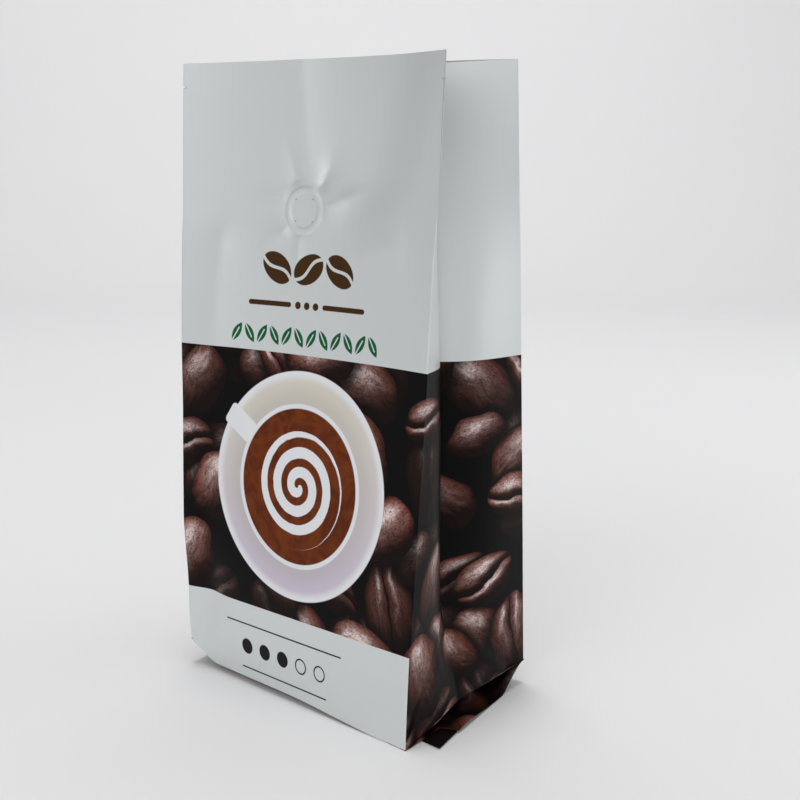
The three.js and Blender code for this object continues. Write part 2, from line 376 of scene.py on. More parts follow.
def gusset_relief(size, around, z):
    """Slanting folds from a gusset's base corners to its middle fold, dents near the mouth and tear nicks."""
    steep, fold_depth, dent_depth, nick_depth, nick_up = 1.15, 0.0011, 0.0007, 0.0005, 0.2655
    relief = np.zeros_like(around)
    for corner, turn in ((size.panel, 1), (size.panel + size.side, -1), (0, -1), (-size.side, 1)):
        along = (around - corner) * turn
        slant = (z - steep * along) / math.hypot(1, steep)
        inside = smoothstep(along, 0, 0.008) * (1 - smoothstep(along, 0.036, 0.046))
        relief = relief - fold_depth * np.exp(-((slant / 0.0034) ** 2)) * inside
    for middle in (size.panel + 0.060, -0.060):
        dent = np.exp(-(((around - middle) / 0.014) ** 2) - ((z - 0.272) / 0.021) ** 2)
        relief = relief - dent_depth * dent
    for edge in (0, size.panel):
        slit = 1 - smoothstep(np.abs(around - edge), 0.0012, 0.0024)
        relief = relief - nick_depth * slit * np.exp(-(((z - nick_up) / 0.00028) ** 2))
    return relief


# Mesh helpers

def graded(stops):
    """Lines over a run of stretches, each given as its end and its greatest step, from the first stop on."""
    lines = [stops[0]]
    for end, step in stops[1:]:
        count = max(1, math.ceil((end - lines[-1]) / step))
        lines.extend(np.linspace(lines[-1], end, count + 1)[1:])
    return np.array(lines)


def linked_object(name, data):
    """An object at the origin that holds the data."""
    made = bpy.data.objects.new(name, data)
    bpy.context.scene.collection.objects.link(made)
    return made


def mesh_object(name, points, faces, uvs=None, slots=None):
    """A smooth-shaded object at the origin, with a pair of uvs for each corner and a slot for each face."""
    mesh = bpy.data.meshes.new(name)
    mesh.from_pydata([tuple(p) for p in points], [], [tuple(f) for f in faces])
    if uvs is not None:
        layer = mesh.uv_layers.new(name=FILM_MAP)
        layer.uv.foreach_set("vector", np.asarray(uvs, np.float32).ravel())
    if slots is not None:
        mesh.polygons.foreach_set("material_index", np.asarray(slots, np.int32))
    mesh.polygons.foreach_set("use_smooth", np.ones(len(mesh.polygons), bool))
    mesh.validate()
    mesh.set_sharp_from_angle(angle=math.radians(60))
    return linked_object(name, mesh)


def grid_faces(rows, columns, wrap):
    """Corner numbers of a grid's faces, row by row, and the same faces' rows and columns of each corner."""
    across = columns if wrap else columns - 1
    j, i = np.meshgrid(np.arange(rows - 1), np.arange(across), indexing="ij")
    row = np.stack([j, j, j + 1, j + 1], -1).reshape(-1, 4)
    column = np.stack([i, i + 1, i + 1, i], -1).reshape(-1, 4)
    return row * columns + column % columns, row, column


def grid_normals(points):
    """Outward directions of a grid of points whose columns join round the bag."""
    around = np.roll(points, -1, 1) - np.roll(points, 1, 1)
    above = np.gradient(points, axis=0)
    out = np.cross(around, above)
    return out / np.linalg.norm(out, axis=-1, keepdims=True)


def thick_sheet(name, points, thickness, uvs):
    """A closed thin sheet over a grid of points (rows, columns, 3), thickened along a fixed direction."""
    rows, columns = points.shape[:2]
    count = rows * columns
    faces, _, _ = grid_faces(rows, columns, False)
    rim = [(0, i) for i in range(columns - 1)]
    rim += [(j, columns - 1) for j in range(rows - 1)]
    rim += [(rows - 1, i) for i in range(columns - 1, 0, -1)]
    rim += [(j, 0) for j in range(rows - 1, 0, -1)]
    ends = np.array([j * columns + i for j, i in rim])
    after = np.roll(ends, -1)
    sides = np.stack([ends, after, after + count, ends + count], -1)
    all_faces = np.concatenate([faces[:, ::-1], faces + count, sides])
    flat = np.concatenate([uvs.reshape(-1, 2)] * 2)
    corners = np.concatenate([points.reshape(-1, 3), points.reshape(-1, 3) + np.asarray(thickness)])
    return mesh_object(name, corners, all_faces, flat[all_faces].reshape(-1, 2))


def dressed(piece, slot, *materials):
    """Gives a finished piece its materials and its body. The slot argument is not used."""
    for material in materials:
        piece.data.materials.append(material)
    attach(piece, BODY)
    return piece


# Node tree helpers

class Nodes:
    """Short calls for building a node tree. Values may be sockets or plain values."""

    def __init__(self, tree):
        self.tree = tree

    def put(self, value, socket):
        """Links a socket to another, or sets it to a plain value."""
        if isinstance(value, bpy.types.NodeSocket):
            self.tree.links.new(value, socket)
        else:
            socket.default_value = value

    def node(self, kind, inputs=None, **settings):
        """A node with its settings, and its inputs linked to sockets or set to values."""
        made = self.tree.nodes.new(kind)
        for name, value in settings.items():
            setattr(made, name, value)
        for name, value in (inputs or {}).items():
            self.put(value, made.inputs[name])
        return made


class Pattern(Nodes):
    """A Geometry Nodes tree under construction, with named inputs."""

    def __init__(self, name):
        super().__init__(bpy.data.node_groups.new(name, "GeometryNodeTree"))
        for way in ("INPUT", "OUTPUT"):
            self.tree.interface.new_socket("Geometry", in_out=way, socket_type="NodeSocketGeometry")
        self.values = {}

    def given(self, name, kind, value):
        """Adds a named input and remembers the value that the modifier gets."""
        socket = self.tree.interface.new_socket(name, in_out="INPUT", socket_type=kind)
        self.values[socket.identifier] = value

    def finish(self, geometry, material):
        """Ends the tree in real mesh that wears a material."""
        real = self.node("GeometryNodeRealizeInstances", {"Geometry": geometry})
        worn = self.node("GeometryNodeSetMaterial", {"Geometry": real.outputs[0], "Material": material})
        self.node("NodeGroupOutput", {0: worn.outputs[0]})

    def applied_to(self, piece):
        """Runs the tree on a piece and leaves the result as its plain mesh."""
        modifier = piece.modifiers.new(self.tree.name, "NODES")
        modifier.node_group = self.tree
        for identifier, value in self.values.items():
            modifier[identifier] = value
        ready = piece.evaluated_get(bpy.context.evaluated_depsgraph_get())
        mesh = bpy.data.meshes.new_from_object(ready)
        piece.modifiers.clear()
        piece.data = mesh
        mesh.name = piece.name
        return piece


class Shade(Nodes):
    """Short calls for a shader tree."""

    def math(self, operation, a, b=0.0, c=0.0):
        return self.node("ShaderNodeMath", {0: a, 1: b, 2: c}, operation=operation).outputs[0]

    add = partialmethod(math, "ADD")
    sub = partialmethod(math, "SUBTRACT")
    mul = partialmethod(math, "MULTIPLY")
    divide = partialmethod(math, "DIVIDE")
    scaled = partialmethod(math, "MULTIPLY_ADD")
    absolute = partialmethod(math, "ABSOLUTE")
    both = partialmethod(math, "MINIMUM")
    either = partialmethod(math, "MAXIMUM")

    def without(self, a, b):
        return self.mul(a, self.sub(1.0, b))

    def step(self, value, low, high):
        """Rises smoothly from 0 at low to 1 at high, or falls if high is the lower one."""
        made = self.node("ShaderNodeMapRange", {0: value, 1: low, 2: high}, clamp=False,
                         interpolation_type="SMOOTHSTEP")
        return made.outputs[0]

    def vector(self, operation, a, b=(0, 0, 0), c=(0, 0, 0), scale=1.0):
        made = self.node("ShaderNodeVectorMath", {0: a, 1: b, 2: c, 3: scale}, operation=operation)
        return made.outputs["Value" if operation in ("LENGTH", "DOT_PRODUCT") else "Vector"]

    def parts(self, vector):
        made = self.node("ShaderNodeSeparateXYZ", {0: vector})
        return made.outputs[0], made.outputs[1], made.outputs[2]

    def join(self, x, y, z=0.0):
        return self.node("ShaderNodeCombineXYZ", {0: x, 1: y, 2: z}).outputs[0]

    def reach(self, x, y):
        """Distance of a place from the origin."""
        return self.vector("LENGTH", self.join(x, y))

    def turn(self, vector, angle):
        made = self.node("ShaderNodeVectorRotate", {"Vector": vector, "Angle": angle}, rotation_type="Z_AXIS")
        return made.outputs[0]

    def noise(self, vector, scale, detail=2.0, roughness=0.5, distortion=0.0, output=0):
        inputs = {"Vector": vector, "Scale": scale, "Detail": detail, "Roughness": roughness,
                  "Distortion": distortion}
        return self.node("ShaderNodeTexNoise", inputs).outputs[output]

    def drift(self, vector, scale, detail, roughness=0.5, distortion=0.0):
        """A noise vector about zero."""
        noise = self.noise(vector, scale, detail, roughness, distortion, output=1)
        return self.vector("SUBTRACT", noise, (0.5, 0.5, 0.5))

    def blend(self, share, a, b, kind="RGBA"):
        """Runs from a where share is 0 to b where it is 1."""
        index = ("FLOAT", "VECTOR", "RGBA").index(kind)
        if kind == "RGBA":
            a, b = self.rgba(a), self.rgba(b)
        made = self.node("ShaderNodeMix", {0: share, 2 + 2 * index: a, 3 + 2 * index: b}, data_type=kind)
        return made.outputs[index]

    @staticmethod
    def rgba(value):
        if isinstance(value, bpy.types.NodeSocket):
            return value
        return (*value[:3], 1.0)

    def surface(self, inputs):
        """Ends a material's tree in a surface with these inputs."""
        made = self.node("ShaderNodeBsdfPrincipled", inputs)
        self.node("ShaderNodeOutputMaterial", {0: made.outputs[0]})


def new_material(name):
    """An empty node material and a helper for its tree."""
    material = bpy.data.materials.new(name)
    material.use_nodes = True
    material.node_tree.nodes.clear()
    return material, Shade(material.node_tree)


def film_place(shade):
    """Where a point lies on the flat film, in millimetres: a vector, its way round and its height."""
    uv = shade.node("ShaderNodeUVMap", uv_map=FILM_MAP).outputs[0]
    place = shade.vector("SCALE", uv, scale=1000.0)
    around, up, _ = shade.parts(place)
    return place, around, up


# The bean print

LIGHT = Vector((-0.22, 0.80, 0.56)).normalized()
GLOSS = (LIGHT + Vector((0, 0, 1))).normalized()

# Sheets of beans from the deepest up: spacing as a share of the largest, share of places filled, and the
# least and most light
BEAN_SHEETS = ((1.0, 0.75, 0.08, 0.22), (0.78, 0.55, 0.40, 0.85), (0.82, 0.50, 0.85, 1.10))


def scattered_beans(print_size, wide, high):
    """Beans on a tile of film, deepest first: centre, half sizes, tilt, tone and light, in millimetres."""
    row_step = 0.87
    draw = np.random.default_rng(print_size.seed)
    for spacing, fill, least, most in BEAN_SHEETS:
        pitch = print_size.bean * 1000 * spacing
        columns, rows = math.ceil(wide / pitch), math.ceil(high / (row_step * pitch)) + 1
        places = [(column, row) for row in range(rows) for column in range(columns)]
        draw.shuffle(places)
        for column, row in places[:round(fill * len(places))]:
            aside, above = draw.uniform(-0.20, 0.20, 2)
            centre = (column + 0.5 * (row % 2) + aside) * pitch, (row * row_step + above) * pitch
            half_long = draw.uniform(14.0, 21.0)
            half_wide = half_long * draw.uniform(0.58, 0.78)
            tilt, tone = draw.uniform(0, math.pi), draw.uniform()
            yield centre, (half_long, half_wide), tilt, tone, draw.uniform(least, most)


def bean_over_group():
    """A node group that lays one bean over those below it, and keeps what lies uppermost at each place."""
    group = bpy.data.node_groups.new("bean_over", "ShaderNodeTree")
    inputs = {"Place": "Vector", "X": "Float", "Y": "Float", "Traits": "Vector", "Dim": "Float",
              "Centre": "Vector", "Along": "Vector", "Aside": "Vector", "Own traits": "Vector"}
    for name, kind in inputs.items():
        group.interface.new_socket(name, in_out="INPUT", socket_type="NodeSocket" + kind)
    for name in ("X", "Y", "Traits", "Dim"):
        group.interface.new_socket(name, in_out="OUTPUT", socket_type="NodeSocket" + inputs[name])
    shade = Shade(group)
    below = shade.node("NodeGroupInput").outputs
    ahead = shade.vector("SUBTRACT", below["Place"], below["Centre"])
    x = shade.vector("DOT_PRODUCT", ahead, below["Along"])
    y = shade.vector("DOT_PRODUCT", ahead, below["Aside"])
    far = shade.scaled(x, x, shade.mul(y, y))
    inside = shade.math("LESS_THAN", far, 1.0)
    near = shade.either(below["Dim"], shade.step(far, 2.1, 1.0))
    above = shade.node("NodeGroupOutput").inputs
    shade.put(shade.blend(inside, below["X"], x, "FLOAT"), above["X"])
    shade.put(shade.blend(inside, below["Y"], y, "FLOAT"), above["Y"])
    shade.put(shade.blend(inside, below["Traits"], below["Own traits"], "VECTOR"), above["Traits"])
    shade.put(shade.sub(near, inside), above["Dim"])
    return group


def bean_places(shade, place, beans):
    """What lies uppermost at each place: where on a bean, the bean's tilt, tone and light, and the shade."""
    group = bean_over_group()
    below = {"X": 0.0, "Y": 0.0, "Traits": (0, 0, 0), "Dim": 0.0}
    for centre, half, tilt, tone, light in beans:
        along = Vector((math.cos(tilt), math.sin(tilt), 0)) / half[0]
        aside = Vector((-math.sin(tilt), math.cos(tilt), 0)) / half[1]
        given = {"Place": place, "Centre": (*centre, 0), "Along": along, "Aside": aside,
                 "Own traits": (tilt, tone, light), **below}
        below = shade.node("ShaderNodeGroup", given, node_tree=group).outputs
        below = {name: below[name] for name in ("X", "Y", "Traits", "Dim")}
    return below["X"], below["Y"], below["Traits"], below["Dim"]


def bean_print(shade, place, print_size, ink, wide, high):
    """Glossy roasted beans heaped over black, lit from above. The pattern repeats round the film."""
    around, up, _ = shade.parts(place)
    tile = shade.join(shade.math("FLOORED_MODULO", around, wide), shade.absolute(up))
    tile = shade.vector("MULTIPLY_ADD", shade.drift(place, 0.055, 1.0), (7, 7, 0), tile)
    x, y, traits, dim = bean_places(shade, tile, scattered_beans(print_size, wide, high))
    tilt, tone, light = shade.parts(traits)
    far = shade.reach(x, y)
    rise = shade.math("SQRT", shade.either(shade.sub(1.0, shade.mul(far, far)), 0.0))

    # The seam along the flat side, which some of the beans show, and the two lobes that fall to it
    skin = shade.join(shade.mul(x, 9.0), shade.mul(y, 14.0), shade.mul(tone, 90.0))
    ragged = shade.mul(shade.sub(shade.noise(skin, 0.30, 2.0), 0.5), 0.20)
    wave = shade.add(shade.mul(shade.math("SINE", shade.mul(x, 2.6)), 0.13), ragged)
    beside = shade.sub(y, wave)
    shows = shade.math("GREATER_THAN", tone, 0.66)
    lobe = shade.mul(shade.step(shade.absolute(beside), 0.50, 0.0), shade.math("SIGN", beside))
    fall = shade.mul(shade.mul(lobe, shows), 0.85)
    seam = shade.mul(shade.step(shade.absolute(beside), 0.075, 0.02), shows)

    # The rounded skin with fine wrinkles
    dome = shade.join(shade.mul(x, 0.62), shade.sub(shade.mul(y, 0.92), fall), shade.add(rise, 0.06))
    ruck = shade.drift(skin, 0.34, 3.0, 0.6, 0.6)
    dome = shade.turn(shade.vector("MULTIPLY_ADD", ruck, (0.62, 0.62, 0.62), dome), tilt)
    facing = shade.vector("NORMALIZE", dome)
    lit = shade.either(shade.vector("DOT_PRODUCT", facing, tuple(LIGHT)), 0.0)
    glint = shade.either(shade.vector("DOT_PRODUCT", facing, tuple(GLOSS)), 0.0)
    crack = shade.absolute(shade.sub(shade.noise(skin, 0.40, 2.0, 0.5, 1.2), 0.5))
    smooth = shade.scaled(shade.step(crack, 0.0, 0.05), 0.6, 0.4)
    grain = shade.mul(shade.scaled(shade.noise(place, 1.1, 4.0, 0.6), 2.4, -0.2), smooth)
    sheen = shade.add(shade.mul(shade.math("POWER", glint, 9.0), 0.22),
                      shade.mul(shade.math("POWER", glint, 34.0), 0.80))
    sheen = shade.mul(shade.mul(sheen, grain), light)
    edge = shade.scaled(shade.step(far, 1.0, 0.80), 0.55, 0.45)

    red = shade.math("FRACT", shade.mul(tone, 13.7))
    skin_ink = shade.blend(red, ink.roast, ink.red_roast)
    body = shade.mul(shade.mul(shade.math("POWER", lit, 1.8), edge), smooth)
    shown = shade.blend(shade.mul(body, light), ink.umber, skin_ink)
    shown = shade.blend(sheen, shown, ink.shine)
    shown = shade.blend(shade.mul(seam, 0.92), shown, ink.black)
    hidden = shade.either(shade.mul(dim, 0.88), shade.math("LESS_THAN", light, 0.05))
    return shade.blend(hidden, shown, ink.black)


def cup_print(shade, around, up, print_size, ink):
    """A cup on its saucer from above, with a swirl of foam, as colour and cover."""
    x = shade.sub(around, print_size.cup_along * 1000)
    y = shade.sub(up, print_size.cup_up * 1000)
    saucer, cup = print_size.saucer * 1000, print_size.cup * 1000
    far = shade.reach(x, y)
    edge = 0.25

    # Saucer: warm above and cool below, with a soft well round the cup and a paler rim
    fall = shade.step(y, saucer, -saucer)
    china = shade.blend(fall, ink.saucer_warm, ink.saucer_cool)
    rim = shade.step(far, saucer - 5, saucer - 1)
    china = shade.blend(rim, china, ink.china)
    well = shade.mul(shade.step(far, saucer - 4, cup + 1), 0.30)
    china = shade.blend(well, china, (0.40, 0.37, 0.34))

    # Cup: rim, drink and foam
    drink_edge, foam_edge, turn_apart, foam_half = cup - 2.0, 27.5, 8.4, 0.285
    angle = shade.math("ARCTAN2", y, x)
    ripple = shade.noise(shade.join(x, y), 0.09, 3.0, 0.5, 1.5)
    drink = shade.blend(shade.step(ripple, 0.35, 0.65), ink.coffee, (0.105, 0.020, 0.005))
    turns = shade.add(shade.divide(far, turn_apart), shade.divide(angle, math.tau))
    turns = shade.add(turns, shade.mul(shade.sub(ripple, 0.5), 0.10))
    band = shade.math("PINGPONG", turns, 0.5)
    width = shade.mul(shade.step(far, foam_edge, 18.0), foam_half)
    foam = shade.step(shade.sub(width, band), -0.02, 0.02)
    foam = shade.mul(foam, shade.step(far, foam_edge, foam_edge - 1.0))
    drink = shade.blend(foam, drink, ink.china)
    inside = shade.step(far, drink_edge + edge, drink_edge - edge)
    cup_disc = shade.step(far, cup + edge, cup - edge)
    shown = shade.blend(cup_disc, china, ink.china)
    shown = shade.blend(inside, shown, drink)

    # Handle, across the saucer's rim
    way, half_long, half_wide = math.radians(-147), 6.5, 3.2
    handle_x, handle_y, _ = shade.parts(shade.turn(shade.join(x, y), way))
    handle_x = shade.either(shade.sub(shade.absolute(shade.sub(handle_x, cup + 7.5)), half_long), 0.0)
    handle_y = shade.either(shade.sub(shade.absolute(handle_y), half_wide), 0.0)
    handle = shade.step(shade.reach(handle_x, handle_y), 2.2, 1.8)
    handle = shade.without(handle, inside)
    shown = shade.blend(handle, shown, ink.china)
    cover = shade.either(shade.step(far, saucer + edge, saucer - edge), handle)
    return shown, cover


def bean_icon(shade, x, y, half_long, half_wide, tilt):
    """A plain bean: an oval with a wavy gap along it."""
    turned = shade.turn(shade.join(x, y), tilt)
    along, aside, _ = shade.parts(turned)
    along = shade.divide(along, half_long)
    aside = shade.divide(aside, half_wide)
    oval = shade.step(shade.reach(along, aside), 1.03, 0.97)
    wave = shade.mul(shade.math("SINE", shade.mul(along, 2.8)), 0.24)
    gap = shade.step(shade.absolute(shade.sub(aside, wave)), 0.15, 0.10)
    return shade.without(oval, gap)


def bar(shade, x, y, left, right, middle, half):
    """A level bar with round ends."""
    inside = shade.sub(shade.absolute(shade.sub(x, (left + right) / 2)), (right - left) / 2)
    past = shade.either(inside, 0.0)
    far = shade.reach(past, shade.sub(y, middle))
    return shade.step(far, half + 0.15, half - 0.15)


def leaf_row(shade, around, up, left, right, middle, pitch):
    """A row of leaves that lean to and fro, each with a gap along its rib."""
    half_long, half_wide, lean = 4.9, 2.0, math.radians(58)
    count = shade.math("FLOOR", shade.divide(shade.sub(around, left), pitch))
    turn = shade.scaled(shade.math("FLOORED_MODULO", count, 2.0), -2.0, 1.0)
    x = shade.sub(shade.math("FLOORED_MODULO", shade.sub(around, left), pitch), pitch / 2)
    y = shade.mul(shade.sub(up, middle), turn)
    along = shade.add(shade.mul(x, math.cos(lean)), shade.mul(y, math.sin(lean)))
    aside = shade.absolute(shade.sub(shade.mul(y, math.cos(lean)), shade.mul(x, math.sin(lean))))
    share = shade.divide(along, half_long)
    width = shade.mul(shade.sub(1.0, shade.mul(share, share)), half_wide)
    leaf = shade.step(shade.sub(width, aside), -0.12, 0.12)
    rib = shade.mul(shade.step(aside, 0.42, 0.22), shade.step(along, half_long - 2.2, half_long - 2.8))
    row = shade.both(shade.step(around, left - 0.1, left), shade.step(around, right, right - 0.1))
    return shade.mul(shade.without(leaf, rib), row)


def upper_ornament(shade, around, up):
    """Beans over a divided bar for the brown ink, and a row of leaves for the green."""
    middle, bean_row, bar_row, leaf_line = 70.0, 189.0, 173.6, 160.0
    brown = shade.either(bar(shade, around, up, 38.5, 60.0, bar_row, 1.1),
                         bar(shade, around, up, 80.0, 101.5, bar_row, 1.1))
    for offset, tilt in ((-17.5, 0.6), (0.0, -0.5), (17.5, 0.6)):
        bean = bean_icon(shade, shade.sub(around, middle + offset), shade.sub(up, bean_row), 8.6, 6.0, tilt)
        brown = shade.either(brown, bean)
    for offset in (-5.0, 0.0, 5.0):
        far = shade.reach(shade.sub(around, middle + offset), shade.sub(up, bar_row))
        brown = shade.either(brown, shade.step(far, 1.75, 1.45))
    return brown, leaf_row(shade, around, up, middle - 42.0, middle + 42.0, leaf_line, 7.0)


def label_marks(shade, around, up):
    """A roast scale of five rounds, three of them filled, between two fine rules."""
    first, pitch, level, filled = 40.0, 12.0, 18.0, 3
    marks = shade.either(bar(shade, around, up, 27, 101, 28.6, 0.35),
                         bar(shade, around, up, 36, 92, 7.6, 0.35))
    for i in range(5):
        far = shade.reach(shade.sub(around, first + pitch * i), shade.sub(up, level))
        disc = shade.step(far, 3.75, 3.45)
        if i >= filled:
            disc = shade.without(disc, shade.step(far, 3.0, 2.8))
        marks = shade.either(marks, disc)
    return marks


def printed_film(name):
    """Satin laminate film with its print, read from the film map."""
    bag = bpy.context.scene.coffee_bag
    size, print_size, ink = bag.sizes, bag.print_sizes, bag.colours
    material, shade = new_material(name)
    place, around, up = film_place(shade)
    sharp = 0.12
    panel = size.panel * 1000

    on_front = shade.both(shade.step(around, -sharp, sharp), shade.step(around, panel + sharp, panel - sharp))
    band_top, label_top = print_size.band_top * 1000, print_size.label_top * 1000
    band = shade.step(up, band_top + sharp, band_top - sharp)
    label = shade.both(shade.step(up, label_top + sharp, label_top - sharp), shade.step(up, -0.4, -0.2))
    label = shade.both(label, on_front)
    band = shade.without(band, label)

    cloud = shade.noise(place, 0.012, 3.0)
    pearl = shade.blend(shade.mul(cloud, 0.25), ink.pearl, tuple(0.93 * c for c in ink.pearl))
    beans = bean_print(shade, place, print_size, ink, panel + size.side * 1000, band_top)
    cup, cup_cover = cup_print(shade, around, up, print_size, ink)
    brown, green = upper_ornament(shade, around, up)
    marks = label_marks(shade, around, up)

    shown = shade.blend(band, pearl, beans)
    shown = shade.blend(shade.both(cup_cover, shade.both(on_front, band)), shown, cup)
    shown = shade.blend(shade.both(brown, on_front), shown, ink.ink_brown)
    shown = shade.blend(shade.both(green, on_front), shown, ink.ink_green)
    shown = shade.blend(shade.both(marks, label), shown, ink.ink_dark)

    grain = shade.noise(place, 0.9, 3.0)
    fine = shade.noise(place, 0.16, 3.0, 0.5)
    bump = shade.node("ShaderNodeBump", {"Height": fine, "Strength": 0.06, "Distance": 0.001})
    shade.surface({"Base Color": shown, "Roughness": shade.scaled(grain, 0.06, 0.33),
                   "Metallic": shade.mul(shade.sub(1.0, band), 0.65), "Specular IOR Level": 0.08,
                   "Normal": bump.outputs[0]})
    return material


def foil_lining(name):
    """The bare laminate on the inside: dull silver with faint rolling marks."""
    material, shade = new_material(name)
    place, _, _ = film_place(shade)
    rolled = shade.noise(shade.vector("MULTIPLY", place, (1.0, 0.05, 1.0)), 0.6, 3.0)
    foil = bpy.context.scene.coffee_bag.colours.foil
    shade.surface({"Base Color": shade.blend(shade.mul(rolled, 0.5), foil, tuple(0.8 * c for c in foil)),
                   "Roughness": shade.scaled(rolled, 0.12, 0.36), "Metallic": 0.75})
    return material


# Plain materials: scale and detail of their cloud, the colours at its ends, roughness and its drift, and
# specular level
PLAIN_MATERIALS = {
    "dark_seal_film": (160.0, 3.0, (0.003, 0.002, 0.002), (0.010, 0.006, 0.005), 0.40, 0.15, 0.05),
    "pinhole_shadow": (900.0, 2.0, (0.03, 0.03, 0.03), (0.07, 0.07, 0.07), 0.9, 0.0, 0.5),
    "valve_plastic": (220.0, 3.0, (0.70, 0.70, 0.67), (0.80, 0.80, 0.78), 0.38, 0.15, 0.5),
    "pale_paper": (3.0, 2.0, (0.80, 0.80, 0.81), (0.82, 0.82, 0.825), 0.8, 0.0, 0.1),
}


def plain_material(name):
    """A plain material, whose colour and roughness drift with a cloud on object coordinates."""
    scale, detail, dark, light, roughness, drift, specular = PLAIN_MATERIALS[name]
    material, shade = new_material(name)
    cloud = shade.noise(shade.node("ShaderNodeTexCoord").outputs["Object"], scale, detail)
    shade.surface({"Base Color": shade.blend(cloud, dark, light), "Specular IOR Level": specular,
                   "Roughness": shade.scaled(cloud, drift, roughness) if drift else roughness})
    return material


def material_named(name):
    """A material by name, made the first time that it is asked for."""
    make = {"printed_film": printed_film, "foil_lining": foil_lining}.get(name, plain_material)
    return bpy.data.materials.get(name) or make(name)


# Operators, one for each piece or group of like pieces

class COFFEEBAG_OT_film(bpy.types.Operator):
    """Make the bag's film: front, back and both gussets, printed outside and bare foil inside"""

    bl_idname = "coffeebag.film"
    bl_label = "Film"

    def execute(self, context):
        bag = context.scene.coffee_bag
        size, valve = bag.sizes, bag.valve
        around = self.column_lines(size, valve)
        levels = self.row_lines(size, valve) / size.height
        points = rounded_film_point(size, around[None, :], levels[:, None])
        place = np.broadcast_to(around, points.shape[:2])
        z = points[..., 2]
        out = grid_normals(points)
        relief = panel_relief(valve, place, z) + valve_relief(valve, place, z)
        relief = relief + gusset_relief(size, place, z)
        outer = points + out * relief[..., None]
        outer[0, :, 2] = points[0, :, 2]
        outer[-1, :, 2] = points[-1, :, 2]

        inner = outer - out * size.film
        inner[:, :, 2] = outer[:, :, 2]
        piece = self.shell(size, around, outer, inner, z)
        dressed(piece, "film", material_named("printed_film"), material_named("foil_lining"))
        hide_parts("bag")
        return {"FINISHED"}

    @staticmethod
    def column_lines(size, valve):
        """Lines up the film, closer at the creases, at the gusset folds and at the valve."""
        # Half width and step of a close stretch
        at_fold, at_valve = (0.0030, 0.0004), (0.0125, 0.0005)
        broad = 0.0027
        start = -size.side - size.panel / 2
        folds = [corner + size.side * share for corner in (-size.side, size.panel) for share in (0, 0.5, 1)]
        close = [(fold, *at_fold) for fold in folds] + [(valve.along, *at_valve)]
        stops = [start]
        for line, near, fine in sorted(close):
            stops += [(line - near, broad), (line + near, fine)]
        stops += [(start + girth(size), broad)]
        return graded(stops)[:-1]

    @staticmethod
    def row_lines(size, valve):
        """Lines round the film, closer at the base, at the valve and at the tear nicks."""
        return graded([0.0, (0.016, 0.0013), (valve.up - 0.0125, 0.0027), (valve.up + 0.0125, 0.0005),
                       (0.2645, 0.0027), (0.2665, 0.00025), (size.height, 0.0022)])

    @staticmethod
    def shell(size, around, outer, inner, z):
        """Outer and inner skins joined along the rims into one closed film."""
        rows, columns = outer.shape[:2]
        ahead = np.append(around, around[0] + girth(size))
        faces, row, column = grid_faces(rows, columns, True)
        uvs = np.stack([ahead[column], z[row, column % columns]], -1)
        lining = faces[:, ::-1] + rows * columns
        lining_uvs = uvs[:, ::-1]

        i = np.arange(columns)
        after = (i + 1) % columns
        top, inner_top = (rows - 1) * columns, (2 * rows - 1) * columns
        rim = np.stack([top + i, top + after, inner_top + after, inner_top + i], -1)
        foot = np.stack([after, i, rows * columns + i, rows * columns + after], -1)
        at_rim, at_foot = (np.stack([ahead, np.append(level, level[0])], -1) for level in (z[-1], z[0]))
        rim_uvs = np.stack([at_rim[:-1], at_rim[1:], at_rim[1:], at_rim[:-1]], 1)
        foot_uvs = np.stack([at_foot[1:], at_foot[:-1], at_foot[:-1], at_foot[1:]], 1)

        corners = np.concatenate([outer.reshape(-1, 3), inner.reshape(-1, 3)])
        all_faces = np.concatenate([faces, rim, foot, lining])
        all_uvs = np.concatenate([uvs, rim_uvs, foot_uvs, lining_uvs]).reshape(-1, 2)
        slots = np.zeros(len(all_faces), int)
        slots[-len(lining):] = 1
        return mesh_object("film", corners, all_faces, all_uvs, slots)


